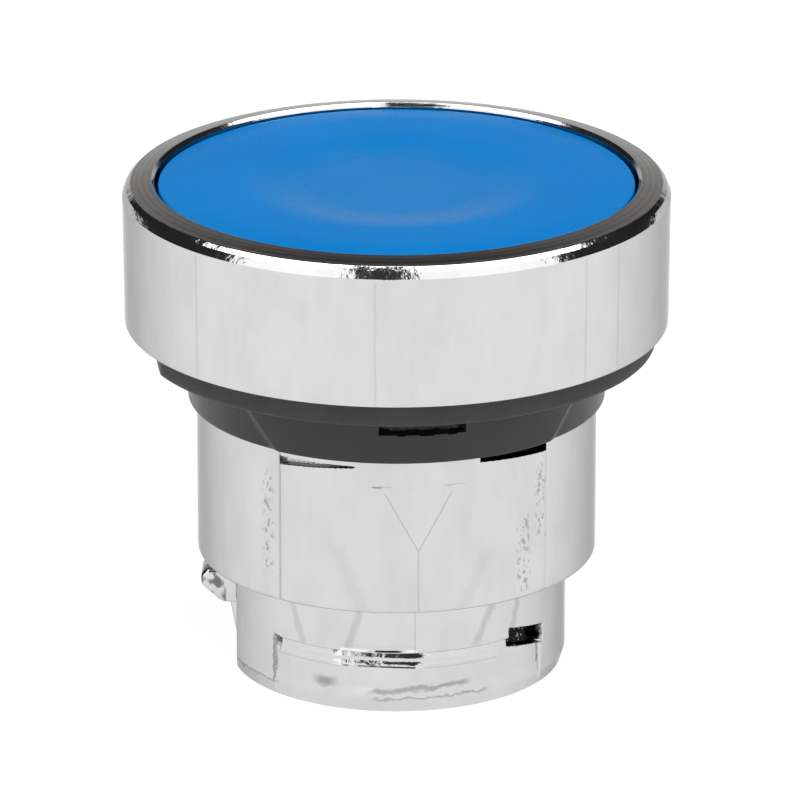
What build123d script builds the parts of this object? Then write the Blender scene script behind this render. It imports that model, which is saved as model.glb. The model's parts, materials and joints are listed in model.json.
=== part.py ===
from build123d import *
import math
import os

# Spring-return push button head for a 22 mm panel hole, in millimetres.
# +Z points out of the panel, towards the finger. The origin is the centre of the rear rim.
# The arrow on the barrel faces -Y; angles about the axis are counted from it, +X is +90 degrees.

# Driving dimensions
BEZEL_R = 14.5
CAP_R = 12.6
SPIGOT_R = 11.22           # centring ring, for a panel hole 22.5 mm across
BARREL_R = 10.65
LOWER_R = 9.05
TRAVEL = 4.3

Z_STEP = 6.2               # lower body meets the barrel
Z_RING = 14.8              # barrel meets the centring ring
Z_PANEL = 17.7             # face of the panel, underside of the flange seal
Z_BEZEL = 19.05            # rear edge of the bezel
Z_WALL = 26.0              # end of the bezel's straight wall
Z_CREST = 26.88            # highest point of the bezel
Z_CAP = 26.6               # rim of the cap

# Bezel and what is clamped inside it
BEZEL_BORE_R = 12.79
BEZEL_EDGE = (14.37, 26.52)        # top of the tapered band over the wall
BEZEL_SHOULDER = (14.2, 26.65)     # outer end of the sloping land
CREST_R = 12.95
PLATE_R = 13.3             # head plate of the barrel, pressed into the bezel
PLATE_T = 1.15
Z_PLATE = Z_BEZEL + PLATE_T
Z_LOCK = Z_BEZEL + 0.35    # groove of the lock ring, half in the plate and half in the bezel
LOCK_T = 0.5
LOCK_HALF = 0.28
LOCK_GROOVE_HALF = 0.3
LOCK_GAP = 1.6
SEAL_T = 0.5
SEAL_LIP = 0.3
CLAMP_T = 0.3
CLAMP_BORE_R = 9.8

# Cap
CAP_T = 1.25               # thickness of the rim
Z_CROWN = 26.7
Z_DISH = 26.42
DISH_FLAT_R = 4.0
DISH_R = 8.2
RIM_ROUND = 0.22
SOCKET_R = 4.2
SOCKET_WALL = 1.0
SOCKET_DEPTH = 1.6

# Flange seal and centring ring
FLANGE_R = 13.78
FLANGE_FLAT = 12.95        # distance of the flat from the axis, on the -X side
FLANGE_STEP = 0.05         # relief over the centring ring
SLOT_MID = 0.8             # middle and half angle of the moulded slot, degrees
SLOT_HALF = 11.2
SLOT_Z = (16.42, 16.84)
SLOT_DEPTH = 0.7

# Barrel casting
NECK_R = 10.2
NECK_BORE_R = 9.2
NECK_FIT = 0.05            # clearance of the rings on the neck
LOWER_BORE_R = 7.6
Z_WEB = 6.8
WEB_T = 1.2
WEB_HOLE_R = 4.5
PAD_HALF = 41.5            # half angle of the front pad, degrees
PAD_LINE_W = 0.16
PAD_LINE_DEPTH = 0.12
RELIEF_FROM = 18.0         # corner reliefs under the centring ring
RELIEF_DROP = 0.5
RELIEF_DEPTH = 0.6
ARROW_HALF = 11.2          # half angle of the arrow's top edge, degrees
ARROW_TOP = 13.25
ARROW_TIP = 9.7
ARROW_DEPTH = 0.14

# Bayonet groove and lug of the lower body
GROOVE_HALF = 52.0
GROOVE_TOP = 3.35
GROOVE_LEDGE = 2.4
GROOVE_R = 8.4
RIM_R = 8.78
RIM_LOW = 0.9
POCKET_FROM = 35.5
POCKET_R = 7.95
POCKET_Z = (2.35, 3.7)
FOOT_R = 8.85              # rear rim, at the end of a taper
FOOT_H = 0.75
LUG_ANGLE = -98.0
LUG_FLAT = 8.45            # distance of the flat that the lug stands on
LUG_FLAT_HALF = 4.0
LUG_REACH = 10.5
LUG_Z = (3.1, 5.0)
LUG_W = 2.4
WEB_W = 1.1
WEB_LOW = 1.1

# Moving parts
LINER_R = 8.6
LINER_LOW = 9.4
CARRIER_R = 8.55
CARRIER_WALL = 1.1
CARRIER_LOW = 14.0
POST_R = 4.15              # post of the carrier, in the cap's socket
RIB_TOP = 15.5             # guide ribs of the liner, short enough for the full travel
RIB_REACH = 0.42
RIB_HALF = 7.0
STEM_R = 3.4
STEM_NECK = 0.4            # the stem is this much thinner inside the carrier
BUSH_BORE_R = 3.45
BUSH_FLANGE_R = 5.2
BUSH_FLANGE_T = 1.0
SPRING_R = 6.3
SPRING_WIRE = 0.8
SPRING_TURNS = 6
SEAT_T = 0.5
Z_SPRING_TOP = 21.6
PUSHER_R = 7.1
Z_PUSHER = 4.6
PUSHER_T = 1.5
PAD_R = 1.35
PAD_DROP = 1.2
CLIP_T = 0.5
CLIP_BITE = 0.8            # depth of the clip's groove
CLIP_WALL = 0.6
CLIP_GAP = 1.8
BUFFER_T = 0.6
BUFFER_R = 7.3
CLOSE = 0.01               # gap between parts that sit on each other


def tube(r_out, r_in, z_low, z_high):
    """Plain ring about the Z axis."""
    height = z_high - z_low
    ring = Cylinder(r_out, height) - Cylinder(r_in, height)
    return Pos(0, 0, (z_low + z_high) / 2) * ring


def disc(radius, z_low, z_high):
    """Solid cylinder about the Z axis."""
    return Pos(0, 0, (z_low + z_high) / 2) * Cylinder(radius, z_high - z_low)


def turned(*points):
    """Solid of revolution of a straight-sided (radius, z) outline."""
    outline = [(r, 0, z) for r, z in points]
    return revolve(make_face(Polyline(*outline, close=True)), Axis.Z)


def at_angle(angle):
    """Local frame whose -Y points at this angle about the axis, counted from the arrow."""
    return Rot(0, 0, angle)


def sector(r_out, r_in, z_low, z_high, start, end):
    """Slice of a ring between two angles, counted from the arrow towards +X."""
    reach = 2 * r_out
    wedge = Polyline(
        (0, 0),
        *[polar(reach, start + (end - start) * i / 8) for i in range(9)],
        close=True,
    )
    slab = Pos(0, 0, z_low) * extrude(make_face(wedge), z_high - z_low)
    return tube(r_out, r_in, z_low, z_high) & slab


def polar(radius, angle, z=None):
    """Point at an angle counted from the arrow."""
    turn = math.radians(angle)
    x, y = radius * math.sin(turn), -radius * math.cos(turn)
    return (x, y) if z is None else (x, y, z)


def make_bezel():
    """Chromed ring that frames the cap and is pressed on the head plate."""
    shell = turned(
        (PLATE_R, Z_BEZEL), (BEZEL_R - 0.1, Z_BEZEL), (BEZEL_R, Z_BEZEL + 0.15),
        (BEZEL_R, Z_WALL), BEZEL_EDGE, BEZEL_SHOULDER, (CREST_R, Z_CREST),
        (BEZEL_BORE_R, Z_CREST - (CREST_R - BEZEL_BORE_R)), (BEZEL_BORE_R, Z_PLATE), (PLATE_R, Z_PLATE),
    )
    return shell - tube(PLATE_R + LOCK_GROOVE_HALF, PLATE_R - 0.2, Z_LOCK, Z_LOCK + LOCK_T)


def make_bezel_lock_ring():
    """Flat wire ring, half in the head plate and half in the bezel."""
    ring = tube(PLATE_R + LOCK_HALF, PLATE_R - LOCK_HALF, Z_LOCK + CLOSE, Z_LOCK + LOCK_T - CLOSE)
    return ring - Pos(0, PLATE_R, Z_LOCK) * Box(LOCK_GAP, 2, 3)


def make_push_cap():
    """Dished cap with a socket that snaps over the carrier's post."""
    low = Z_CAP - CAP_T
    rim_r = CAP_R - RIM_ROUND
    dish = Spline(
        (DISH_FLAT_R, 0, Z_DISH), ((DISH_FLAT_R + DISH_R) / 2, 0, (Z_DISH + Z_CROWN) / 2),
        (DISH_R, 0, Z_CROWN), (DISH_R + 2, 0, Z_CROWN), (rim_r, 0, Z_CAP),
        tangents=((1, 0, 0), (1, 0, -0.1)),
    )
    rest = Polyline(
        (rim_r, 0, Z_CAP), (CAP_R - 0.06, 0, Z_CAP - 0.06), (CAP_R, 0, Z_CAP - RIM_ROUND),
        (CAP_R, 0, low), (0, 0, low), (0, 0, Z_DISH), (DISH_FLAT_R, 0, Z_DISH),
    )
    body = revolve(make_face(Wire([dish, *rest.edges()])), Axis.Z)
    socket = tube(SOCKET_R + SOCKET_WALL, SOCKET_R, low - SOCKET_DEPTH, low)
    return body + socket


def make_cap_carrier():
    """Cup that carries the cap, guided in the liner sleeve."""
    top = Z_CAP - CAP_T - CLOSE
    trench_r = SOCKET_R + SOCKET_WALL + 0.1
    trench_low = top - SOCKET_DEPTH - 0.15
    hole_r = STEM_R - STEM_NECK
    inner_r = CARRIER_R - CARRIER_WALL
    cup = turned(
        (hole_r, Z_SPRING_TOP), (hole_r, top - 0.4), (POST_R, top - 0.4), (POST_R, trench_low),
        (trench_r, trench_low), (trench_r, top), (CARRIER_R - 0.3, top), (CARRIER_R, top - 0.3),
        (CARRIER_R, CARRIER_LOW), (inner_r, CARRIER_LOW), (inner_r, Z_SPRING_TOP),
    )
    slot_top = RIB_TOP + TRAVEL + 0.2
    slot = sector(CARRIER_R + 1, CARRIER_R - 0.5, CARRIER_LOW - 0.5, slot_top, -RIB_HALF - 1, RIB_HALF + 1)
    return cup - slot - at_angle(180) * slot


def make_stem():
    """Rod from the carrier to the pusher plate, with a groove for the clip."""
    groove = tube(STEM_R + 1, STEM_R - CLIP_BITE, Z_PUSHER - CLIP_T - CLOSE, Z_PUSHER)
    rod = disc(STEM_R, Z_PUSHER - 1.4, Z_SPRING_TOP)
    rod += disc(STEM_R - STEM_NECK - 0.02, Z_SPRING_TOP, Z_CAP - CAP_T - 0.5)
    tip = rod.edges().group_by(Axis.Z)[0]
    return chamfer(tip, 0.4) - groove


def make_liner_sleeve():
    """Plastic sleeve in the barrel's bore with two ribs that keep the carrier from turning."""
    sleeve = tube(NECK_BORE_R - CLOSE, LINER_R, LINER_LOW, Z_PLATE)
    rib = sector(LINER_R + 0.2, CARRIER_R - RIB_REACH, LINER_LOW, RIB_TOP, -RIB_HALF, RIB_HALF)
    return sleeve + rib + at_angle(180) * rib


def make_lip_seal():
    """Rubber seal on the head plate whose lip wipes the carrier."""
    lip_r = CARRIER_R + 0.06
    outer_r = BEZEL_BORE_R - 0.03
    low, high = Z_PLATE + CLOSE, Z_PLATE + SEAL_T
    return turned(
        (lip_r, low), (outer_r, low), (outer_r, high), (lip_r + 1, high),
        (lip_r + 0.5, high + SEAL_LIP), (lip_r, high + SEAL_LIP),
    )


def make_seal_clamp():
    """Steel ring pressed into the bezel on top of the lip seal."""
    low = Z_PLATE + SEAL_T + CLOSE
    return tube(BEZEL_BORE_R - CLOSE, CLAMP_BORE_R, low, low + CLAMP_T)


def arrow_cutter():
    """Prism that sinks the triangular index mark into the barrel."""
    half = BARREL_R * math.sin(math.radians(ARROW_HALF))
    outline = Polyline((-half, ARROW_TOP), (half, ARROW_TOP), (0, ARROW_TIP), close=True)
    prism = extrude(Plane.XZ * make_face(outline), BARREL_R + 1)
    return prism - disc(BARREL_R - ARROW_DEPTH, ARROW_TIP - 1, ARROW_TOP + 1)


def relief_cutter(side):
    """Wedge that opens towards the pad's corner, just under the centring ring."""
    start, end = RELIEF_FROM, PAD_HALF - 1
    half_chord = BARREL_R * math.sin(math.radians((end - start) / 2))
    outline = Polyline((-half_chord, 0), (half_chord, 0), (half_chord, -RELIEF_DROP), close=True)
    wedge = extrude(Plane.XZ * make_face(outline), BARREL_R + 1)
    wedge = Pos(0, 0, Z_RING) * wedge
    if side < 0:
        wedge = mirror(wedge, Plane.YZ)
    keep = disc(BARREL_R - RELIEF_DEPTH, Z_RING - 2, Z_RING + 1)
    return at_angle(side * (start + end) / 2) * wedge - keep


def lug():
    """Index lug on the lower body: a rounded hook with a thin web under it."""
    low, high = LUG_Z
    root = LUG_FLAT - 0.25
    hook = Polyline(
        (root, high), (LUG_REACH - 0.35, high), (LUG_REACH, high - 0.5), (LUG_REACH - 0.05, high - 0.9),
        (LUG_FLAT + 0.9, low + 0.05), (root, low), close=True,
    )
    web = Polyline(
        (root, low + 0.1), (LUG_FLAT + 0.55, low + 0.1), (LUG_FLAT + 0.17, WEB_LOW), (root, WEB_LOW),
        close=True,
    )
    both = extrude(Plane.XZ * make_face(hook), LUG_W / 2, both=True)
    both += extrude(Plane.XZ * make_face(web), WEB_W / 2, both=True)
    return at_angle(LUG_ANGLE - 90) * both


def make_barrel():
    """Chromed casting: lower body, barrel, neck and head plate in one piece."""
    body = turned(
        (LOWER_BORE_R, 0), (FOOT_R, 0), (LOWER_R, FOOT_H), (LOWER_R, Z_STEP),
        (BARREL_R - 0.25, Z_STEP), (BARREL_R, Z_STEP + 0.25), (BARREL_R, Z_RING),
        (NECK_R, Z_RING), (NECK_R, Z_BEZEL + CLOSE), (PLATE_R - CLOSE, Z_BEZEL + CLOSE),
        (PLATE_R - CLOSE, Z_PLATE - CLOSE), (NECK_BORE_R, Z_PLATE - CLOSE), (NECK_BORE_R, Z_WEB + WEB_T),
        (WEB_HOLE_R, Z_WEB + WEB_T), (WEB_HOLE_R, Z_WEB), (LOWER_BORE_R, Z_WEB),
    )
    body -= tube(PLATE_R + 1, PLATE_R - LOCK_GROOVE_HALF, Z_LOCK, Z_LOCK + LOCK_T)
    for turn in (0, 180):
        groove = sector(LOWER_R + 1, GROOVE_R, GROOVE_LEDGE, GROOVE_TOP, -GROOVE_HALF, GROOVE_HALF)
        rim = sector(LOWER_R + 1, RIM_R, RIM_LOW, GROOVE_LEDGE, -GROOVE_HALF, GROOVE_HALF)
        pocket = sector(LOWER_R + 1, POCKET_R, *POCKET_Z, POCKET_FROM, GROOVE_HALF)
        body -= at_angle(turn) * (groove + rim + pocket)
    for side in (-1, 1):
        line = Box(PAD_LINE_W, 2 * PAD_LINE_DEPTH, Z_RING - Z_STEP)
        body -= at_angle(side * PAD_HALF) * Pos(0, -BARREL_R, (Z_STEP + Z_RING) / 2) * line
        body -= relief_cutter(side)
    flat = Pos(0, -LUG_FLAT - 1, Z_STEP / 2) * Box(2 * LUG_FLAT_HALF, 2, Z_STEP)
    return body - arrow_cutter() - at_angle(LUG_ANGLE) * flat + lug()


def make_flange_seal():
    """Rubber washer between the bezel and the panel, with one flat as an index."""
    inner_r = NECK_R + NECK_FIT
    step_r = SPIGOT_R + 0.15
    washer = turned(
        (inner_r, Z_PANEL + FLANGE_STEP), (step_r, Z_PANEL + FLANGE_STEP), (step_r, Z_PANEL),
        (FLANGE_R - 0.3, Z_PANEL), (FLANGE_R, Z_PANEL + 0.3), (FLANGE_R, Z_BEZEL), (inner_r, Z_BEZEL),
    )
    return washer - Pos(-FLANGE_FLAT - 2, 0, Z_PANEL) * Box(4, 30, 6)


def make_centring_ring():
    """Collar that fills the panel hole, with a moulded slot above the arrow."""
    inner_r = NECK_R + NECK_FIT
    lip_r = SPIGOT_R + 0.08
    top = Z_PANEL + FLANGE_STEP - CLOSE
    collar = turned(
        (inner_r, Z_RING + CLOSE), (SPIGOT_R - 0.1, Z_RING + CLOSE), (SPIGOT_R, Z_RING + 0.1),
        (SPIGOT_R, Z_PANEL - 0.1), (lip_r, Z_PANEL), (lip_r, top), (inner_r, top),
    )
    slot = sector(SPIGOT_R + 1, SPIGOT_R - SLOT_DEPTH, *SLOT_Z, SLOT_MID - SLOT_HALF, SLOT_MID + SLOT_HALF)
    return collar - slot


def make_stem_bush():
    """Plastic bush in the web that guides the stem."""
    low, high = Z_WEB - 0.6, Z_WEB + WEB_T
    outer_r = WEB_HOLE_R - CLOSE
    return turned(
        (BUSH_BORE_R, low), (outer_r, low), (outer_r, high + CLOSE), (BUSH_FLANGE_R, high + CLOSE),
        (BUSH_FLANGE_R, high + BUSH_FLANGE_T), (BUSH_BORE_R, high + BUSH_FLANGE_T),
    )


def make_spring_seat():
    """Steel washer that keeps the spring off the casting."""
    low = Z_WEB + WEB_T + CLOSE
    return tube(NECK_BORE_R - 0.15, BUSH_FLANGE_R + 0.05, low, low + SEAT_T)


def make_return_spring():
    """Compression spring from the seat to the carrier."""
    low = Z_WEB + WEB_T + SEAT_T + SPRING_WIRE / 2 + 3 * CLOSE
    high = Z_SPRING_TOP - SPRING_WIRE / 2 - 2 * CLOSE
    path = Pos(0, 0, low) * Helix((high - low) / SPRING_TURNS, high - low, SPRING_R)
    section = Plane(path @ 0, z_dir=path % 0) * Circle(SPRING_WIRE / 2)
    return sweep(section, path, is_frenet=True)


def make_pusher_plate():
    """Plate on the stem with three pads that press the contact blocks."""
    pad_at = PUSHER_R - PAD_R
    plate = disc(PUSHER_R - 1.6, Z_PUSHER, Z_PUSHER + PUSHER_T)
    for angle in (0, 120, 240):
        arm = Pos(0, -pad_at / 2, Z_PUSHER + PUSHER_T / 2) * Box(2 * PAD_R, pad_at, PUSHER_T)
        pad = Pos(0, -pad_at, Z_PUSHER + (PUSHER_T - PAD_DROP) / 2) * Cylinder(PAD_R, PUSHER_T + PAD_DROP)
        plate += at_angle(angle) * (arm + pad)
    return plate - disc(STEM_R + 0.01, 0, 10)


def make_stem_clip():
    """Open steel clip in the stem's groove, under the pusher plate."""
    ring = tube(STEM_R + CLIP_WALL, STEM_R - CLIP_BITE + 0.02, Z_PUSHER - CLIP_T, Z_PUSHER - CLOSE)
    return ring - Pos(0, STEM_R, Z_PUSHER) * Box(CLIP_GAP, 3, 3)


def make_rest_buffer():
    """Rubber ring that stops the pusher plate softly at rest."""
    low = Z_WEB - CLOSE - BUFFER_T
    return tube(BUFFER_R, WEB_HOLE_R + 0.1, low, Z_WEB - CLOSE)


PARTS = {
    "bezel": make_bezel,
    "bezel_lock_ring": make_bezel_lock_ring,
    "push_cap": make_push_cap,
    "cap_carrier": make_cap_carrier,
    "stem": make_stem,
    "liner_sleeve": make_liner_sleeve,
    "lip_seal": make_lip_seal,
    "seal_clamp": make_seal_clamp,
    "barrel": make_barrel,
    "flange_seal": make_flange_seal,
    "centring_ring": make_centring_ring,
    "stem_bush": make_stem_bush,
    "spring_seat": make_spring_seat,
    "return_spring": make_return_spring,
    "pusher_plate": make_pusher_plate,
    "stem_clip": make_stem_clip,
    "rest_buffer": make_rest_buffer,
}

os.makedirs("parts", exist_ok=True)
for name, make in PARTS.items():
    shape = make()
    export_step(shape, f"parts/{name}.step")
    print(f"{name:18s} {shape.volume:9.2f} mm3, {len(shape.solids())} solid")
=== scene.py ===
import json
import math

import bmesh
import bpy
import numpy as np
from mathutils import Matrix, Vector


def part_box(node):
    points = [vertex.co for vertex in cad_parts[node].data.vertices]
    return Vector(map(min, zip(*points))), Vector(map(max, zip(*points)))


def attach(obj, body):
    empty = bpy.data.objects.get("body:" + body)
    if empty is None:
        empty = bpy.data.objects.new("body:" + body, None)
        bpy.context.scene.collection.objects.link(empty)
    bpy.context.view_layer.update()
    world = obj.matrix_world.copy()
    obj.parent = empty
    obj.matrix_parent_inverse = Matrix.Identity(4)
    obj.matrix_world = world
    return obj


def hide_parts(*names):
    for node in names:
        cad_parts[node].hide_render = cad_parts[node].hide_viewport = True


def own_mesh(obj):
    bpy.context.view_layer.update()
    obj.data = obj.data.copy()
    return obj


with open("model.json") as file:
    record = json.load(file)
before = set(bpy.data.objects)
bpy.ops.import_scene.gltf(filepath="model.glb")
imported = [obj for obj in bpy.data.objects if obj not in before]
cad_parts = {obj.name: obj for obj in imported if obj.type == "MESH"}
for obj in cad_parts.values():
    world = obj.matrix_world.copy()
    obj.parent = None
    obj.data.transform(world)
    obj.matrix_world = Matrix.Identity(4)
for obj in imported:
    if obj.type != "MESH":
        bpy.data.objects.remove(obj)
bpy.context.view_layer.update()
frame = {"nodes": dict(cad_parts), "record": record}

MM = 0.001

# Sizes of the object in millimetres, in the frame's own axes: the arrow faces -Y, the cap +Z.
bezel_low, bezel_high = (Vector(corner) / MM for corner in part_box("bezel"))
cap_low, cap_high = (Vector(corner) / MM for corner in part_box("push_cap"))
ring_low, ring_high = (Vector(corner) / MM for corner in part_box("centring_ring"))
flange_low, flange_high = (Vector(corner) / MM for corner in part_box("flange_seal"))
spring_low, spring_high = (Vector(corner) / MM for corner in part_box("return_spring"))

BEZEL_R = bezel_high.x
BORE_R = 12.79
PLATE_R = 13.3
PLATE_TOP = 20.2
CAP_R = cap_high.x
CAP_TOP = cap_high.z
DISH_FLAT_R, DISH_R, DISH_DEPTH = 4.2, 8.2, 0.36
CROWN_FROM, CROWN_FALL = 10.0, 0.12
NECK_R = 10.2
NECK_BORE_R = 9.2
BARREL_R = 10.65
LOWER_R = 9.05
LOWER_BORE_R = 7.6
STEP_Z = 6.2
RING_Z = ring_low.z
WEB_LOW, WEB_HIGH, WEB_HOLE_R = 6.8, 8.0, 4.5
PAD_HALF = 41.5
ARROW_HALF, ARROW_TOP, ARROW_TIP = 10.6, 13.3, 9.7
RELIEF_FROM, RELIEF_LOW, RELIEF_TOP = 18.0, 13.95, 14.32
# Bayonet groove: half angle, top, then its two sloping faces as (foot, head, fall).
GROOVE_HALF, GROOVE_TOP = 52.0, 3.33
LOW_FACE, HIGH_FACE = (2.42, 2.76, 0.117), (2.93, GROOVE_TOP, 0.138)
FLAT_MIDDLE, FLAT_HALF, FLAT_DEPTH = -13, 13, 0.17
POCKET_FROM, POCKET_Z, POCKET_SLANT = 35.5, (2.9, 3.85), 0.03
FOOT_R, FOOT_H = 8.85, 0.7
LUG_ANGLE, LUG_FLAT = -98.0, 8.45
COLLAR_R = 11.27
SLOT_MID, SLOT_HALF, SLOT_Z = 0.8, 11.2, (16.45, 16.8)
CAMERA_TURN, CAMERA_RISE = math.radians(6.2), math.radians(19.73)
CAMERA_DISTANCE, TARGET_HEIGHT = 0.4391, 0.01433


# Marks on the casting, in millimetres of height and degrees from the arrow, many of them painted shade and
# painted reflections.
LOWER_ARC = math.radians(LOWER_R)
BEZEL_ARC = math.radians(BEZEL_R)
DRAW_LINES = (-52.0, -10.6, 36.5, 46.5, 118.0, -131.0)
# height, last angle, strength of the painted shade lines at the groove's edges
GROOVE_SHADE_LINES = ((GROOVE_TOP - 0.02, 36, 0.4), (2.44, 30, 0.15))
# Streaks of painted dark reflection on the lower body and barrel.
# angle at the foot, lean per mm, foot, head, width, strength
REFLECTION_STREAKS = (
    (-39.8, -2.0, 3.6, 5.8, 0.3, 0.16), (-22.3, 2.0, 3.8, 5.8, 0.3, 0.18), (22.3, 3.0, 3.8, 5.8, 0.35, 0.2),
    (36.9, 1.5, 4.2, 6.0, 0.25, 0.22), (-16.0, -2.2, 6.4, 9.5, 0.5, 0.06), (13.0, 2.5, 6.4, 9.0, 0.5, 0.06),
)
# Bands of painted dark reflection round the rim face.
# height at the arrow, climb per degree, first and last angle, width, strength
REFLECTION_BANDS = (
    (1.25, 0.0125, -13, 17, 0.2, 0.4), (1.45, 0.0, -33, -30, 0.35, 0.45), (0.75, 0.002, -12, 24, 0.09, 0.35),
    (0.75, 0.0, -78, -53, 0.1, 0.4),
)
# Speckled patches of painted dark reflection at the sides of the front pad.
# first and last angle, foot, head
SPECKLED_REFLECTION_PATCHES = ((31, 34, 6.8, 10.5), (-46.5, -44.5, 8.2, 12.8), (38, 40, 9.5, 13.0))


# ---------------------------------------------------------------- shapes

def smooth(edge_low, edge_high, value):
    """0 below edge_low, 1 above edge_high, with an eased step between."""
    t = np.clip((value - edge_low) / (edge_high - edge_low), 0.0, 1.0)
    return t * t * (3 - 2 * t)


def inside(low, high, value, soft):
    """1 between low and high, falling to 0 over the soft width outside."""
    return smooth(low - soft, low, value) * (1 - smooth(high, high + soft, value))


def rounded(corners, arc_steps=5):
    """Closed outline of (radius, z, fillet) corners, with each corner turned into an arc."""
    points = []
    count = len(corners)
    for i, (r, z, fillet) in enumerate(corners):
        here = Vector((r, z))
        back = Vector(corners[i - 1][:2]) - here
        ahead = Vector(corners[(i + 1) % count][:2]) - here
        if fillet <= 0:
            points.append(here)
            continue
        half = back.angle(ahead) / 2
        reach = min(fillet / math.tan(half), 0.49 * min(back.length, ahead.length))
        start, end = here + back.normalized() * reach, here + ahead.normalized() * reach
        for k in range(arc_steps + 1):
            t = k / arc_steps
            points.append(start * (1 - t) ** 2 + here * 2 * t * (1 - t) + end * t ** 2)
    return points


def with_rows(points, r_min, z_low, z_high, step):
    """The outline with its long outer stretch cut into short rows, for relief."""
    cut = []
    for here, ahead in zip(points, points[1:] + points[:1]):
        cut.append(here)
        in_height = z_low <= min(here.y, ahead.y) and max(here.y, ahead.y) <= z_high
        outer = in_height and min(here.x, ahead.x) >= r_min
        parts = math.ceil((ahead - here).length / step) if outer else 1
        cut += [here.lerp(ahead, k / parts) for k in range(1, parts)]
    return cut


def spun(name, outline, steps, relief=None):
    """Solid turned from a closed (radius, z) outline in mm; relief moves its outer skin."""
    count = len(outline)
    wire = bpy.data.meshes.new(name + "_outline")
    edges = [(i, (i + 1) % count) for i in range(count)]
    wire.from_pydata([(p.x * MM, 0, p.y * MM) for p in outline], edges, [])
    piece = bpy.data.objects.new(name, wire)
    bpy.context.scene.collection.objects.link(piece)
    turn = piece.modifiers.new("turn", "SCREW")
    turn.axis = "Z"
    turn.angle = 2 * math.pi
    turn.steps = turn.render_steps = steps
    turn.use_merge_vertices = True
    turn.merge_threshold = 1e-7
    turn.use_smooth_shade = True
    mesh = bpy.data.meshes.new_from_object(piece.evaluated_get(bpy.context.evaluated_depsgraph_get()))
    piece.modifiers.clear()
    piece.data = mesh
    bpy.data.meshes.remove(wire)
    if relief:
        shape_skin(mesh, relief)
    if signed_volume(mesh) < 0:
        mesh.flip_normals()
    mesh.set_sharp_from_angle(angle=math.radians(40))
    return piece


def signed_volume(mesh):
    """Volume of a closed mesh, negative if its faces point inwards."""
    mesh.calc_loop_triangles()
    corners = np.empty(len(mesh.loop_triangles) * 3, dtype=np.int32)
    mesh.loop_triangles.foreach_get("vertices", corners)
    points = np.empty(len(mesh.vertices) * 3, dtype=np.float32)
    mesh.vertices.foreach_get("co", points)
    a, b, c = points.reshape(-1, 3).astype(float)[corners.reshape(-1, 3)].transpose(1, 0, 2) / MM
    return float(np.einsum("ij,ij->", a, np.cross(b, c))) / 6


def shape_skin(mesh, relief):
    """Moves every point in or out to the radius that relief gives for its radius, angle and height."""
    points = np.empty(len(mesh.vertices) * 3, dtype=np.float32)
    mesh.vertices.foreach_get("co", points)
    x, y, z = points.reshape(-1, 3).astype(float).T / MM
    r = np.hypot(x, y)
    new_r = relief(r, np.degrees(np.arctan2(x, -y)), z)
    moved = np.stack([x * new_r / r, y * new_r / r, z], axis=1) * MM
    mesh.vertices.foreach_set("co", moved.astype(np.float32).ravel())
    mesh.update()


def finished(name, bm):
    """Object at the origin from a bmesh, with soft shading."""
    mesh = bpy.data.meshes.new(name)
    bm.to_mesh(mesh)
    bm.free()
    mesh.polygons.foreach_set("use_smooth", [True] * len(mesh.polygons))
    obj = bpy.data.objects.new(name, mesh)
    bpy.context.scene.collection.objects.link(obj)
    mesh.set_sharp_from_angle(angle=math.radians(38))
    return obj


# ---------------------------------------------------------------- materials

def new_material(name, color, metallic=0.0, roughness=0.5):
    """Principled material; returns it with its node tree and shader."""
    material = bpy.data.materials.new(name)
    material.use_nodes = True
    tree = material.node_tree
    shader = tree.nodes["Principled BSDF"]
    shader.inputs["Base Color"].default_value = (*color, 1)
    shader.inputs["Metallic"].default_value = metallic
    shader.inputs["Roughness"].default_value = roughness
    return material, tree, shader


def grain(tree, per_mm, detail=3, stretch=(1, 1, 1)):
    """Noise on the object's own coordinates, with this many features per millimetre."""
    place = tree.nodes.new("ShaderNodeTexCoord")
    mapping = tree.nodes.new("ShaderNodeMapping")
    mapping.inputs["Scale"].default_value = stretch
    pattern = tree.nodes.new("ShaderNodeTexNoise")
    pattern.inputs["Scale"].default_value = per_mm / MM
    pattern.inputs["Detail"].default_value = detail
    tree.links.new(place.outputs["Object"], mapping.inputs["Vector"])
    tree.links.new(mapping.outputs["Vector"], pattern.inputs["Vector"])
    return pattern.outputs["Fac"]


def ramp(tree, value, stops):
    """Colour ramp over a value; stops are (position, colour) pairs."""
    node = tree.nodes.new("ShaderNodeValToRGB")
    elements = node.color_ramp.elements
    while len(elements) < len(stops):
        elements.new(0.5)
    for element, (position, color) in zip(elements, stops):
        element.position = position
        element.color = (*color, 1)
    tree.links.new(value, node.inputs["Fac"])
    return node.outputs["Color"]


def span(tree, value, low, high, from_low=0.0, from_high=1.0):
    """Value mapped onto low..high."""
    node = tree.nodes.new("ShaderNodeMapRange")
    node.inputs["From Min"].default_value = from_low
    node.inputs["From Max"].default_value = from_high
    node.inputs["To Min"].default_value = low
    node.inputs["To Max"].default_value = high
    tree.links.new(value, node.inputs["Value"])
    return node.outputs["Result"]


def add_bump(tree, shader, height, depth_mm, strength=1.0, under=None):
    """Bump of this depth, stacked on an earlier bump if one is given."""
    node = tree.nodes.new("ShaderNodeBump")
    node.inputs["Strength"].default_value = strength
    node.inputs["Distance"].default_value = depth_mm * MM
    tree.links.new(height, node.inputs["Height"])
    if under:
        tree.links.new(under, node.inputs["Normal"])
    tree.links.new(node.outputs["Normal"], shader.inputs["Normal"])
    return node.outputs["Normal"]


def maths(tree, operation, *values):
    """Math node; values are sockets or numbers."""
    node = tree.nodes.new("ShaderNodeMath")
    node.operation = operation
    for value, socket in zip(values, node.inputs):
        if isinstance(value, (int, float)):
            socket.default_value = value
        else:
            tree.links.new(value, socket)
    return node.outputs[0]


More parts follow.
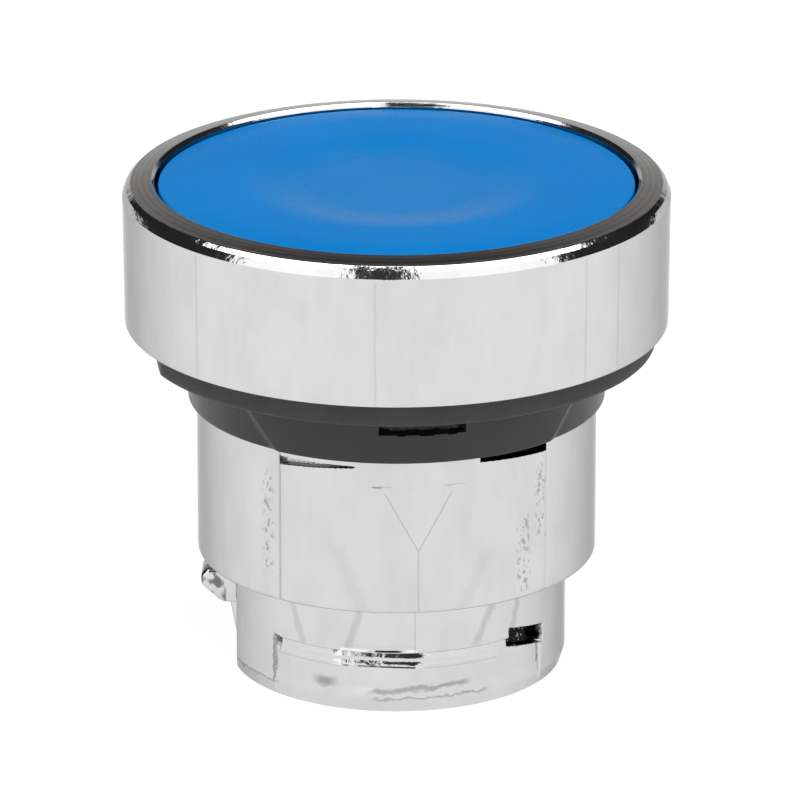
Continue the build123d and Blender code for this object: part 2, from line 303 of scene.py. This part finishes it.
def around_axis(tree):
    """Radius and height in mm, and the angle from the arrow in degrees, of the shaded point."""
    place = tree.nodes.new("ShaderNodeTexCoord")
    split = tree.nodes.new("ShaderNodeSeparateXYZ")
    tree.links.new(place.outputs["Object"], split.inputs["Vector"])
    x, y, z = split.outputs
    square = maths(tree, "ADD", maths(tree, "MULTIPLY", x, x), maths(tree, "MULTIPLY", y, y))
    radius = maths(tree, "MULTIPLY", maths(tree, "SQRT", square), 1 / MM)
    turn = maths(tree, "ARCTAN2", x, maths(tree, "MULTIPLY", y, -1.0))
    angle = maths(tree, "MULTIPLY", turn, 180 / math.pi)
    return radius, angle, maths(tree, "MULTIPLY", z, 1 / MM)


def line_mask(tree, distance, width):
    """1 on a line and 0 beyond this width, from a distance in mm."""
    return span(tree, maths(tree, "ABSOLUTE", distance), 1.0, 0.0, width * 0.3, width)


def product(tree, *factors):
    """All the factors multiplied together."""
    value = factors[0]
    for factor in factors[1:]:
        value = maths(tree, "MULTIPLY", value, factor)
    return value


def strongest(tree, *masks):
    """The largest of the masks at each point."""
    value = masks[0]
    for mask in masks[1:]:
        value = maths(tree, "MAXIMUM", value, mask)
    return value


def window(tree, value, low, high, soft, top=1.0):
    """top between low and high, falling to 0 over the soft width outside."""
    rise = span(tree, value, 0, top, low - soft, low)
    return product(tree, rise, span(tree, value, 1, 0, high, high + soft))


def mixed(tree, mask, under, over):
    """Colour that goes from under to over where the mask is 1."""
    node = tree.nodes.new("ShaderNodeMix")
    node.data_type = "RGBA"
    tree.links.new(mask, node.inputs["Factor"])
    for color, socket in ((under, node.inputs["A"]), (over, node.inputs["B"])):
        if isinstance(color, tuple):
            socket.default_value = (*color, 1)
        else:
            tree.links.new(color, socket)
    return node.outputs["Result"]


def chrome_plate(name, tone, waviness_mm, lumps, marks):
    """Bright plate over a casting: long soft waves, fine orange peel, lumps and marks in their places, with
    painted shade at grazing angles and along the marks.
    """
    material, tree, shader = new_material(name, (tone, tone, tone * 1.005), 1.0, 0.07)
    shader.inputs["Specular Tint"].default_value = (0.6, 0.6, 0.6, 1)
    cloud = grain(tree, 0.5, 5, (1, 1, 0.6))
    streak = grain(tree, 1.6, 4, (1, 1, 0.2))
    patch = maths(tree, "ADD", maths(tree, "MULTIPLY", cloud, 0.75), maths(tree, "MULTIPLY", streak, 0.25))
    shade = ramp(tree, patch, [(0.36, (tone * 0.96,) * 3), (0.5, (tone,) * 3), (0.64, (tone * 1.03,) * 3)])
    # Colour darkened where the surface turns away from the view: painted shade at grazing angles.
    rim = tree.nodes.new("ShaderNodeLayerWeight")
    rim.inputs["Blend"].default_value = 0.5
    painted_grazing_shade = span(tree, rim.outputs["Facing"], 0.0, 0.42, 0.35, 1.0)
    shade = mixed(tree, painted_grazing_shade, shade, (0.2, 0.2, 0.2))
    tree.links.new(span(tree, grain(tree, 1.2, 5), 0.05, 0.14), shader.inputs["Roughness"])
    normal = add_bump(tree, shader, grain(tree, 0.22, 2), waviness_mm)
    normal = add_bump(tree, shader, grain(tree, 1.7, 4, (1, 1, 0.5)), 0.0035, 0.6, normal)
    for height, depth_mm in lumps(tree):
        normal = add_bump(tree, shader, height, depth_mm, 1.0, normal)
    lines, painted_shade_and_dark_marks, depth_mm = marks(tree)
    add_bump(tree, shader, maths(tree, "SUBTRACT", 1.0, lines), depth_mm, 1.0, normal)
    # The line masks also darken the colour halfway: painted shade in the grooves of the lines.
    shade = mixed(tree, maths(tree, "MULTIPLY", lines, 0.5), shade, (0.1, 0.1, 0.1))
    # Near black where the second mask is set: painted shade and painted dark reflections on the barrel, and
    # darker mottling on the lug.
    tree.links.new(mixed(tree, painted_shade_and_dark_marks, shade, (0.012, 0.012, 0.012)), shader.inputs["Base Color"])
    return material


def bezel_lumps(tree):
    """Coarse polishing marks on the turned edge above the wall."""
    z = around_axis(tree)[2]
    edge = maths(tree, "MULTIPLY", span(tree, z, 0, 1, 25.98, 26.05), span(tree, z, 1, 0, 26.64, 26.7))
    yield maths(tree, "MULTIPLY", grain(tree, 1.3, 4), edge), 0.05
    land = span(tree, z, 0, 1, 26.66, 26.72)
    yield maths(tree, "MULTIPLY", grain(tree, 2.2, 3), land), 0.006


def barrel_lumps(tree):
    """Slightly uneven casting on the lower body, fine grain in the groove, and rough skin in scattered
    patches.
    """
    angle, z = around_axis(tree)[1:]
    lower = span(tree, z, 1, 0, STEP_Z - 0.2, STEP_Z)
    yield maths(tree, "MULTIPLY", grain(tree, 0.5, 2, (1, 1, 0.8)), lower), 0.06
    groove = maths(tree, "MULTIPLY", span(tree, z, 0, 1, 2.5, 2.6), span(tree, z, 1, 0, 3.34, 3.4))
    near = span(tree, maths(tree, "ABSOLUTE", angle), 1, 0, GROOVE_HALF - 2, GROOVE_HALF)
    groove = maths(tree, "MULTIPLY", groove, near)
    yield maths(tree, "MULTIPLY", grain(tree, 2.2, 4, (1, 1, 1.5)), groove), 0.03
    skin = span(tree, grain(tree, 0.35, 2), 0, 1, 0.5, 0.62)
    yield maths(tree, "MULTIPLY", grain(tree, 4.0, 3, (1, 1, 0.6)), skin), 0.012


def bezel_marks(tree):
    """Fine turning lines on the sloping top land, and draw lines down the wall, darkened as painted shade in
    their grooves.
    """
    radius, angle, z = around_axis(tree)
    rings = maths(tree, "SINE", maths(tree, "MULTIPLY", radius, 2 * math.pi / 0.31))
    fine = maths(tree, "SINE", maths(tree, "MULTIPLY", radius, 2 * math.pi / 0.13))
    both = maths(tree, "ADD", product(tree, rings, 0.35), product(tree, fine, 0.15))
    land = span(tree, z, 0.0, 1.0, 26.66, 26.7)
    lines = maths(tree, "MULTIPLY", span(tree, both, 0.0, 0.5, -0.5, 0.5), land)
    wobble = maths(tree, "MULTIPLY", maths(tree, "SUBTRACT", grain(tree, 0.9, 3), 0.5), 0.5)
    shifted = maths(tree, "ADD", angle, wobble)
    upright = [
        line_mask(tree, product(tree, maths(tree, "SUBTRACT", shifted, place), BEZEL_ARC), 0.1)
        for place in DRAW_LINES
    ]
    wall = product(tree, span(tree, z, 1.0, 0.0, 25.7, 26.0), 0.25)
    clean = product(tree, z, 0.0)
    return strongest(tree, lines, product(tree, strongest(tree, *upright), wall)), clean, 0.004


def arrow_and_pad_lines(tree):
    """Moulded arrow, parting line and edges of the front pad, darkened as painted shade in their grooves."""
    radius, angle, z = around_axis(tree)
    along = maths(tree, "ABSOLUTE", angle)
    arc = math.radians(BARREL_R)
    rise = maths(tree, "DIVIDE", maths(tree, "SUBTRACT", z, ARROW_TIP), ARROW_TOP - ARROW_TIP)
    from_leg = maths(tree, "SUBTRACT", along, product(tree, rise, ARROW_HALF))
    leg = line_mask(tree, product(tree, from_leg, arc * 0.86), 0.07)
    arrow = product(tree, leg, window(tree, z, ARROW_TIP, ARROW_TOP - 0.5, 0.2, 0.5))
    dash = line_mask(tree, maths(tree, "SUBTRACT", z, ARROW_TOP), 0.06)
    dash = product(tree, dash, 0.5, window(tree, along, ARROW_HALF - 2.4, ARROW_HALF + 2.2, 1.0))
    parting = line_mask(tree, product(tree, angle, arc), 0.06)
    parting = product(tree, parting, 0.45, window(tree, z, GROOVE_TOP + 0.1, ARROW_TIP, 0.1))
    edge = line_mask(tree, product(tree, maths(tree, "SUBTRACT", along, PAD_HALF), arc), 0.08)
    above_step = span(tree, z, 0, 1, STEP_Z, STEP_Z + 0.1)
    edge = product(tree, edge, span(tree, angle, 0.6, 0.15, -10, 10), above_step)
    outside = span(tree, radius, 0, 1, LOWER_R - 0.7, LOWER_R - 0.6)
    return product(tree, strongest(tree, arrow, dash, parting, edge), outside)


def corner_and_pocket_painted_shade(tree, shifted, up):
    """Painted shade in the corner reliefs under the collar, in the end pocket and at the left end of the
    groove.
    """
    radius, angle, z = around_axis(tree)
    along = maths(tree, "ABSOLUTE", angle)
    sunk = span(tree, radius, 1, 0, BARREL_R - 0.16, BARREL_R - 0.08)
    right = span(tree, angle, 0.12, 1.0, -5, 5)
    corner = product(
        tree, sunk, right, window(tree, z, RING_Z - 1.2, RING_Z, 0.1),
        window(tree, along, RELIEF_FROM, PAD_HALF, 0.3),
    )
    past = maths(tree, "SUBTRACT", angle, POCKET_FROM)
    slant = maths(tree, "ADD", up, product(tree, past, POCKET_SLANT))
    pocket = product(
        tree, window(tree, shifted, POCKET_FROM, GROOVE_HALF, 0.6), window(tree, slant, *POCKET_Z, 0.08),
        span(tree, grain(tree, 6, 3), 1.0, 0.3, 0.6, 0.7),
    )
    at_end = window(tree, shifted, -GROOVE_HALF, -49.5, 0.3)
    left_end = product(tree, at_end, window(tree, up, 2.95, 3.4, 0.1), 0.8)
    return strongest(tree, corner, pocket, left_end)


def groove_edge_painted_shade(tree, shifted):
    """Painted shade: fine dark lines at the top, bottom and left edges of the groove."""
    angle, z = around_axis(tree)[1:]
    lines = []
    for height, last, strength in GROOVE_SHADE_LINES:
        line = line_mask(tree, maths(tree, "SUBTRACT", z, height), 0.07)
        lines.append(product(tree, line, strength, window(tree, angle, -GROOVE_HALF, last, 1.0)))
    from_end = product(tree, maths(tree, "ADD", shifted, GROOVE_HALF), LOWER_ARC)
    lines.append(product(tree, line_mask(tree, from_end, 0.12), window(tree, z, 0.9, 3.3, 0.3, 0.5)))
    return strongest(tree, *lines)


def painted_reflection_marks(tree, wobble, shifted, up):
    """Painted dark reflections as streaks, bands and speckled patches on the plated casting, and darker
    mottling on the lug.
    """
    radius, angle, z = around_axis(tree)
    painted_reflections = []
    for start, lean, low, high, width, strength in REFLECTION_STREAKS:
        middle = maths(tree, "ADD", start, product(tree, maths(tree, "SUBTRACT", z, low), lean))
        away = product(tree, maths(tree, "SUBTRACT", shifted, middle), LOWER_ARC)
        painted_reflections.append(product(tree, line_mask(tree, away, width), window(tree, up, low, high, 0.6, strength)))
    specks = span(tree, grain(tree, 4.5, 4, (1, 1, 0.7)), 0.0, 0.4, 0.52, 0.62)
    for first, last, low, high in SPECKLED_REFLECTION_PATCHES:
        patch = product(tree, window(tree, shifted, first, last, 1.6), window(tree, z, low, high, 0.8))
        painted_reflections.append(product(tree, patch, specks))
    uneven = maths(tree, "ADD", z, product(tree, wobble, 0.5))
    for height, climb, first, last, width, strength in REFLECTION_BANDS:
        middle = maths(tree, "ADD", height, product(tree, angle, climb))
        dark_band = line_mask(tree, maths(tree, "SUBTRACT", uneven, middle), width)
        painted_reflections.append(product(tree, dark_band, window(tree, angle, first, last, 4.0, strength)))
    on_lug = product(
        tree, span(tree, radius, 0, 1, LOWER_R + 0.1, LOWER_R + 0.2), span(tree, z, 1, 0, 5.0, 5.1),
    )
    lug_mottle = span(tree, grain(tree, 1.6, 5), 0.0, 0.75, 0.5, 0.6)
    return strongest(tree, *painted_reflections, product(tree, on_lug, lug_mottle))


def barrel_marks(tree):
    """Moulded lines of the casting, and the painted shade, painted dark reflections and lug mottling on it.
    """
    angle, z = around_axis(tree)[1:]
    wobble = maths(tree, "SUBTRACT", grain(tree, 2.2, 4), 0.5)
    shifted = maths(tree, "ADD", angle, product(tree, wobble, 3.0))
    up = maths(tree, "ADD", z, product(tree, wobble, 0.35))
    painted_shade_and_dark_marks = strongest(
        tree, corner_and_pocket_painted_shade(tree, shifted, up), groove_edge_painted_shade(tree, shifted),
        painted_reflection_marks(tree, wobble, shifted, up),
    )
    return arrow_and_pad_lines(tree), painted_shade_and_dark_marks, 0.02


def blue_plastic(name):
    """Satin moulded blue, paler towards the middle where the finger rests: finger wear together with a
    painted sheen.
    """
    material, tree, shader = new_material(name, (0.0, 0.156, 0.455), 0.0, 0.42)
    radius = around_axis(tree)[0]
    cloud = grain(tree, 0.16, 4)
    speck = grain(tree, 9, 3)
    blue = ramp(tree, cloud, [
        (0.3, (0.0, 0.15, 0.44)), (0.5, (0.0, 0.156, 0.455)), (0.72, (0.0, 0.163, 0.47)),
    ])
    wear_and_sheen = span(tree, radius, 1.0, 0.0, 5.0, 8.4)
    patchy, speckled_wear_and_sheen = span(tree, cloud, 0.25, 0.5, 0.35, 0.65), span(tree, speck, 0.5, 1.5, 0.35, 0.65)
    # Paler, greyer blue in patches towards the middle: finger wear and painted sheen.
    color = mixed(tree, product(tree, wear_and_sheen, patchy, speckled_wear_and_sheen), blue, (0.03, 0.168, 0.39))
    tree.links.new(color, shader.inputs["Base Color"])
    tree.links.new(span(tree, speck, 0.22, 0.36), shader.inputs["Roughness"])
    add_bump(tree, shader, speck, 0.006, 0.5)
    shader.inputs["Specular IOR Level"].default_value = 0.018
    return material


def dark_moulding(name, tone, rough, per_mm, depth_mm):
    """Black rubber or plastic with a fine moulded skin and faint handling marks."""
    material, tree, shader = new_material(name, (tone, tone, tone * 1.04), 0.0, rough)
    dust = grain(tree, 0.5, 5)
    shade = ramp(tree, dust, [(0.35, (tone * 0.85,) * 3), (0.75, (tone * 1.3,) * 3)])
    tree.links.new(shade, shader.inputs["Base Color"])
    tree.links.new(span(tree, grain(tree, 1.5, 4), rough - 0.07, rough + 0.08), shader.inputs["Roughness"])
    add_bump(tree, shader, grain(tree, per_mm, 3), depth_mm, 0.6)
    return material


def pale_moulding(name, color):
    """Natural or grey plastic with slight flow marks."""
    material, tree, shader = new_material(name, color, 0.0, 0.42)
    flow = grain(tree, 0.3, 3, (1, 1, 0.3))
    darker = tuple(c * 0.92 for c in color)
    tree.links.new(ramp(tree, flow, [(0.35, darker), (0.65, color)]), shader.inputs["Base Color"])
    tree.links.new(span(tree, grain(tree, 1.4, 4), 0.36, 0.5), shader.inputs["Roughness"])
    add_bump(tree, shader, grain(tree, 6, 2), 0.004, 0.5)
    return material


def steel(name, tone, rough):
    """Zinc-plated or drawn steel with drawing marks."""
    material, tree, shader = new_material(name, (tone, tone, tone), 1.0, rough)
    marks = grain(tree, 2.0, 4, (1, 1, 6))
    shade = ramp(tree, marks, [(0.3, (tone * 0.86,) * 3), (0.7, (tone * 1.05,) * 3)])
    tree.links.new(shade, shader.inputs["Base Color"])
    tree.links.new(span(tree, marks, rough - 0.08, rough + 0.1), shader.inputs["Roughness"])
    add_bump(tree, shader, marks, 0.003, 0.5)
    return material


finish = {
    "chrome_bezel": chrome_plate("chrome_bezel_plate", 0.64, 0.012, bezel_lumps, bezel_marks),
    "chrome_barrel": chrome_plate("chrome_barrel_plate", 0.62, 0.04, barrel_lumps, barrel_marks),
    "blue_cap": blue_plastic("blue_cap_plastic"),
    "black_plastic": dark_moulding("black_carrier_plastic", 0.03, 0.4, 6, 0.004),
    "ring_plastic": dark_moulding("black_ring_plastic", 0.01, 0.36, 5, 0.004),
    "seal_rubber": dark_moulding("flange_rubber", 0.02, 0.62, 10, 0.008),
    "black_rubber": dark_moulding("seal_rubber", 0.03, 0.58, 8, 0.006),
    "grey_plastic": pale_moulding("grey_stem_plastic", (0.35, 0.35, 0.36)),
    "natural_plastic": pale_moulding("natural_acetal", (0.82, 0.81, 0.76)),
    "plated_steel": steel("zinc_plated_steel", 0.62, 0.3),
    "spring_steel": steel("spring_wire_steel", 0.5, 0.25),
}


# ---------------------------------------------------------------- pieces

def make_bezel():
    """Polished ring round the cap, with its rolled outer edge and sloping top land."""
    crest_r = BORE_R + 0.16
    outline = with_rows(rounded([
        (PLATE_R, bezel_low.z, 0.05), (BEZEL_R - 0.06, bezel_low.z, 0.14), (BEZEL_R, 26.0, 0.01),
        (BEZEL_R - 0.19, 26.43, 0.2), (BEZEL_R - 0.44, 26.67, 0.12), (crest_r, bezel_high.z - 0.01, 0.03),
        (BORE_R, bezel_high.z - 0.17, 0.04), (BORE_R, PLATE_TOP, 0), (PLATE_R, PLATE_TOP, 0),
    ]), 14.4, 19, 26.0, 0.8)
    return spun("bezel_shell", outline, 480)


def cap_height(r):
    """Top of the cap: a finger dish in the middle and a slight crown round it."""
    dish = DISH_DEPTH * (1 - smooth(DISH_FLAT_R, DISH_R, r))
    crown = CROWN_FALL * smooth(CROWN_FROM, CAP_R + 0.3, r) ** 1.5
    return CAP_TOP - 0.01 - dish - crown


def make_cap():
    """Blue cap with a shallow finger dish and a softly rounded rim."""
    low = cap_low.z + 1.6
    rim = 0.12
    radii = np.linspace(0.03, CAP_R - rim, 70)
    edge = float(cap_height(radii[-1]))
    outline = [Vector((0.03, low))] + [Vector((r, float(cap_height(r)))) for r in radii]
    for turn in np.radians(np.linspace(12, 90, 8)):
        outline.append(Vector((CAP_R - rim + rim * math.sin(turn), edge - rim + rim * math.cos(turn))))
    outline += [Vector(p) for p in ((CAP_R, low), (5.2, low), (5.2, low - 1.6), (4.2, low - 1.6), (4.2, low))]
    return spun("cap_face", outline, 360)


def barrel_relief(r, angle, z):
    """Front pad lines, sunk arrow, parting line and corner reliefs of the barrel."""
    along = np.abs(angle)
    arc = math.radians(BARREL_R)
    sink = np.where(angle < 0, 0.06, 0.02) * (1 - smooth(0.04, 0.14, np.abs(along - PAD_HALF) * arc))
    rise = (z - ARROW_TIP) / (ARROW_TOP - ARROW_TIP)
    arrow_edge = np.minimum((ARROW_HALF * rise - along) * arc * 0.85, ARROW_TOP - z)
    sink += 0.03 * smooth(-0.04, 0.12, arrow_edge)
    reach = (along - RELIEF_FROM) / (PAD_HALF - RELIEF_FROM)
    low = RELIEF_TOP + np.where(angle < 0, (RELIEF_LOW - RELIEF_TOP) * reach, 0.08 - 0.26 * reach)
    opened = smooth(low - 0.05, low + 0.03, z) * (1 - (angle < 0) * smooth(RELIEF_TOP, RELIEF_TOP + 0.06, z))
    sink += 0.42 * opened * smooth(0.0, 0.02, reach) * (1 - smooth(0.98, 1.0, reach))
    skin = (r > BARREL_R - 0.4) & (z < RING_Z + 0.05)
    return np.where(skin, r - sink, r)


def make_barrel():
    """Upper casting: barrel, neck and head plate, above the lower body."""
    corners = [
        (LOWER_R - 0.1, STEP_Z + 0.02, 0), (BARREL_R, STEP_Z + 0.02, 0.22), (BARREL_R, RELIEF_LOW - 0.15, 0),
        (BARREL_R, RING_Z - 0.01, 0.03),
        (NECK_R, RING_Z - 0.01, 0), (NECK_R, bezel_low.z + 0.01, 0), (PLATE_R - 0.01, bezel_low.z + 0.01, 0),
        (PLATE_R - 0.01, PLATE_TOP - 0.01, 0), (NECK_BORE_R, PLATE_TOP - 0.01, 0), (NECK_BORE_R, WEB_HIGH, 0),
        (LOWER_R - 0.1, WEB_HIGH, 0),
    ]
    outline = with_rows(rounded(corners), BARREL_R - 0.3, RELIEF_LOW - 0.2, RING_Z, 0.025)
    outline = with_rows(outline, BARREL_R - 0.3, STEP_Z, RELIEF_LOW - 0.1, 0.12)
    return spun("barrel_shell", outline, 720, barrel_relief)


def lower_relief(r, angle, z):
    """Bayonet groove over a recessed rim, at the front and again at the back, and the lug's flat."""
    turn = np.where(np.abs(angle) <= 90, angle, (angle + 360) % 360 - 180)
    wobble = 0.05 * np.sin(0.43 * turn) + 0.03 * np.sin(1.13 * turn + 1.7) + 0.02 * np.sin(2.7 * turn)
    steep = 0.3 + 0.7 * inside(-26, 0, turn, 5)
    low_face = LOW_FACE[2] * np.clip((z - LOW_FACE[0]) / (LOW_FACE[1] - LOW_FACE[0]), 0, 1)
    high_face = HIGH_FACE[2] * np.clip((z - HIGH_FACE[0]) / (GROOVE_TOP - HIGH_FACE[0]), 0, 1)
    steps = [0, 0.62, 1.3, GROOVE_TOP, GROOVE_TOP + 0.03, WEB_HIGH]
    radii = [FOOT_R, 8.93, 8.87, 8.86, LOWER_R, LOWER_R]
    recess = np.interp(z + wobble * (z < 2.2) * (z > 0.1), steps, radii)
    recess -= steep * (low_face + high_face) * (z < GROOVE_TOP + 0.01)
    across = np.clip(np.abs(turn - FLAT_MIDDLE) / FLAT_HALF, 0, 1)
    flattened = FLAT_DEPTH * (1 - across ** 2) * np.clip((z - 0.8) / 1.6, 0, 1)
    recess -= flattened * (z < GROOVE_TOP + 0.01)
    dent = inside(-24, -1, turn, 4) * inside(3.38, 3.5, z, 0.3) * np.clip((z - 3.36) / 0.4, 0, 1) * 0.12
    slant = z + POCKET_SLANT * (turn - POCKET_FROM)
    pocket = 0.4 * inside(POCKET_FROM, GROOVE_HALF, turn, 0.6) * inside(*POCKET_Z, slant, 0.08)
    open_to = smooth(0.0, 0.1, (GROOVE_HALF - np.abs(turn)) * math.radians(LOWER_R))
    shaped = r - open_to * np.maximum(0.0, r - recess) - dent - pocket
    flat = LUG_FLAT / np.maximum(0.2, np.cos(np.radians(angle - LUG_ANGLE)))
    return np.where((r > 8.3) & (z < STEP_Z + 0.1), np.minimum(shaped, flat), r)


def make_lower_body():
    """Lower casting that the mounting base turns on to, open at the rear."""
    inner = LOWER_R - 0.3
    corners = [
        (LOWER_BORE_R, 0, 0.15), (FOOT_R, 0, 0.08), (LOWER_R, FOOT_H, 0.1), (LOWER_R, 4.3, 0),
        (LOWER_R, STEP_Z + 0.02, 0), (inner, STEP_Z + 0.3, 0), (inner, WEB_HIGH - 0.01, 0),
        (WEB_HOLE_R, WEB_HIGH - 0.01, 0.15), (WEB_HOLE_R, WEB_LOW, 0.15), (LOWER_BORE_R, WEB_LOW, 0.3),
    ]
    outline = with_rows(rounded(corners), 8.6, 0.05, 4.35, 0.05)
    return spun("lower_body", outline, 720, lower_relief)


def make_lug():
    """Index lug: a rounded hook with a thin web running down from it."""
    bm = bmesh.new()
    hook = [(8.2, 5.0), (10.1, 5.0), (10.47, 4.6), (10.42, 4.1), (9.4, 3.2), (9.2, 3.12), (8.2, 3.12)]
    web = [(8.2, 3.2), (8.98, 3.2), (8.6, 1.15), (8.2, 1.15)]
    for outline, width in ((hook, 2.38), (web, 1.08)):
        verts = [bm.verts.new((r * MM, -width / 2 * MM, z * MM)) for r, z in outline]
        face = bm.faces.new(verts)
        grown = bmesh.ops.extrude_face_region(bm, geom=[face])
        moved = [v for v in grown["geom"] if isinstance(v, bmesh.types.BMVert)]
        bmesh.ops.translate(bm, verts=moved, vec=(0, width * MM, 0))
    bmesh.ops.recalc_face_normals(bm, faces=bm.faces)
    bmesh.ops.bevel(
        bm, geom=bm.edges[:], offset=0.16 * MM, segments=4, profile=0.5, affect="EDGES", material=-1,
    )
    bmesh.ops.rotate(bm, verts=bm.verts, matrix=Matrix.Rotation(math.radians(LUG_ANGLE - 90), 3, "Z"))
    return finished("index_lug", bm)


def flange_relief(r, angle, z):
    """Cuts the washer's one flat on the -X side."""
    flat = -flange_low.x - 0.01
    reach = flat / np.maximum(0.2, np.cos(np.radians(angle + 90)))
    return np.where(r > 12, np.minimum(r, reach), r)


def make_flange():
    """Matte washer between the bezel and the panel."""
    low, high = flange_low.z, flange_high.z
    outer = flange_high.x
    outline = rounded([
        (NECK_R + 0.06, low, 0.1), (outer, low, 0.4), (outer, high - 0.01, 0.12),
        (NECK_R + 0.06, high - 0.01, 0.1),
    ])
    return spun("flange_washer", outline, 480, flange_relief)


def collar_relief(r, angle, z):
    """Moulded slot above the arrow and the proud front face between two slanted ends."""
    ragged = 0.03 * np.sin(0.9 * angle) + 0.015 * np.sin(2.3 * angle)
    slot = inside(SLOT_MID - SLOT_HALF, SLOT_MID + SLOT_HALF, angle, 0.4)
    slot = slot * inside(*SLOT_Z, z + ragged, 0.05)
    end = 42.0 + 5.2 * (z - ring_low.z)
    face = smooth(-0.1, 0.6, (end - np.abs(angle)) * math.radians(COLLAR_R))
    return np.where(r > 10.8, r - 0.65 * slot - 0.17 * (1 - face), r)


def make_collar():
    """Collar that fills the panel hole."""
    low, high = ring_low.z, ring_high.z - 0.03
    outline = rounded([
        (NECK_R + 0.06, low, 0.1), (COLLAR_R, low, 0.12), (COLLAR_R, high, 0.02), (NECK_R + 0.06, high, 0.05),
    ])
    return spun("collar", with_rows(outline, 10.9, low, high, 0.06), 720, collar_relief)


def make_spring():
    """Return spring of round wire with a closed coil at each end."""
    wire, radius, turns = 0.4, 6.3, 6.0
    low, high = spring_low.z + wire, spring_high.z - wire
    curve = bpy.data.curves.new("spring_wire", "CURVE")
    curve.dimensions = "3D"
    curve.bevel_depth = wire * MM
    curve.bevel_resolution = 5
    curve.use_fill_caps = True
    line = curve.splines.new("POLY")
    steps = int(turns * 48)
    line.points.add(steps)
    for i in range(steps + 1):
        t = i / steps
        rise = float(smooth(0.1, 0.9, t)) * 0.45 + 0.55 * t
        turn = 2 * math.pi * turns * t
        point = (radius * math.cos(turn), radius * math.sin(turn), low + (high - low) * rise)
        line.points[i].co = (*(c * MM for c in point), 1)
    shown = bpy.data.objects.new("spring_wire", curve)
    bpy.context.scene.collection.objects.link(shown)
    mesh = bpy.data.meshes.new_from_object(shown)
    bpy.data.objects.remove(shown)
    bm = bmesh.new()
    bm.from_mesh(mesh)
    bpy.data.meshes.remove(mesh)
    return finished("spring_coil", bm)


def dress(piece, body, slot, *nodes):
    """Hangs a piece on its body, gives it its finish, and hides the nodes it stands for."""
    piece.data.materials.clear()
    piece.data.materials.append(finish[slot])
    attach(piece, body)
    if nodes:
        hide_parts(*nodes)


dress(make_bezel(), "housing", "chrome_bezel", "bezel")
dress(make_cap(), "button", "blue_cap", "push_cap")
dress(make_barrel(), "housing", "chrome_barrel", "barrel")
dress(make_lower_body(), "housing", "chrome_barrel", "barrel")
dress(make_lug(), "housing", "chrome_barrel", "barrel")
dress(make_flange(), "housing", "seal_rubber", "flange_seal")
dress(make_collar(), "housing", "ring_plastic", "centring_ring")
spring = make_spring()
dress(spring, "housing", "spring_steel", "return_spring")
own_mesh(spring)

# The pieces kept from the frame take the same finishes.
for entry in frame["record"]["subparts"]:
    for slot in frame["nodes"][entry["node"]].material_slots:
        slot.material = finish[entry["material_slot"]]


# ---------------------------------------------------------------- studio

def make_floor():
    """Pale floor under the object."""
    bm = bmesh.new()
    bmesh.ops.create_grid(bm, x_segments=1, y_segments=1, size=3.0)
    floor = finished("studio_floor", bm)
    material, _, shader = new_material("studio_white", (0.12, 0.12, 0.12), 0.0, 0.9)
    shader.inputs["Emission Color"].default_value = (1, 1, 1, 1)
    shader.inputs["Emission Strength"].default_value = 0.9
    floor.data.materials.append(material)


def make_world():
    """White surroundings, a soft box overhead, and darker room between them."""
    world = bpy.data.worlds.new("studio")
    bpy.context.scene.world = world
    world.use_nodes = True
    tree = world.node_tree
    sky = tree.nodes["Background"]
    place = tree.nodes.new("ShaderNodeTexCoord")
    facing = tree.nodes.new("ShaderNodeMapping")
    facing.inputs["Rotation"].default_value = (0, 0, CAMERA_TURN)
    split = tree.nodes.new("ShaderNodeSeparateXYZ")
    tree.links.new(place.outputs["Generated"], facing.inputs["Vector"])
    tree.links.new(facing.outputs["Vector"], split.inputs["Vector"])
    side, back, up = split.outputs

    def step(value, low, high):
        return span(tree, value, 0.0, 1.0, low, high)

    # Behind the object the light falls off upwards; the far sides are dark.
    rear = ramp(tree, up, [
        (0.0, (0.95, 0.95, 0.95)), (0.12, (0.9, 0.9, 0.9)), (0.24, (0.56, 0.55, 0.54)),
        (0.33, (0.38, 0.37, 0.36)), (0.48, (0.22, 0.21, 0.2)), (0.6, (0.09, 0.085, 0.08)),
        (0.66, (0.055, 0.053, 0.05)), (1.0, (0.05, 0.05, 0.05)),
    ])
    aside = maths(tree, "ABSOLUTE", side)
    around = maths(tree, "DIVIDE", aside, maths(tree, "MAXIMUM", maths(tree, "ABSOLUTE", back), 0.02))
    wide = strongest(tree, step(around, 0.45, 0.6), step(back, 0.1, 0.0))
    flank = product(tree, wide, step(up, 0.0, 0.02))
    front = product(tree, step(back, 0.0, -0.03), step(around, 3.4, 3.0))
    overhead = product(tree, step(up, 0.66, 0.7), step(back, 0.26, 0.2))
    across = product(tree, step(side, -0.31, -0.27), step(side, 0.1, 0.06))
    gap = product(tree, across, step(back, -0.2, -0.26), step(up, 0.02, 0.05))
    room = mixed(tree, flank, rear, (0.025, 0.025, 0.027))
    room = mixed(tree, front, room, (1.5, 1.5, 1.5))
    room = mixed(tree, overhead, room, (3.4, 3.4, 3.4))
    room = mixed(tree, gap, room, (0.04, 0.04, 0.04))
    tree.links.new(room, sky.inputs["Color"])


def make_camera():
    """Long lens, a little left of the arrow and looking down on the cap."""
    distance, turn, rise = CAMERA_DISTANCE, -CAMERA_TURN, CAMERA_RISE
    target = Vector((0, 0, TARGET_HEIGHT))
    away = Vector((math.sin(turn) * math.cos(rise), -math.cos(turn) * math.cos(rise), math.sin(rise)))
    data = bpy.data.cameras.new("camera")
    data.sensor_width = 36
    data.lens = 370.7
    data.shift_x = 0.0043
    data.clip_start = 0.01
    camera = bpy.data.objects.new("camera", data)
    bpy.context.scene.collection.objects.link(camera)
    camera.location = target + away * distance
    camera.rotation_euler = (-away).to_track_quat("-Z", "Y").to_euler()
    bpy.context.scene.camera = camera


make_floor()
make_world()
make_camera()
bpy.context.scene.view_settings.view_transform = "Standard"
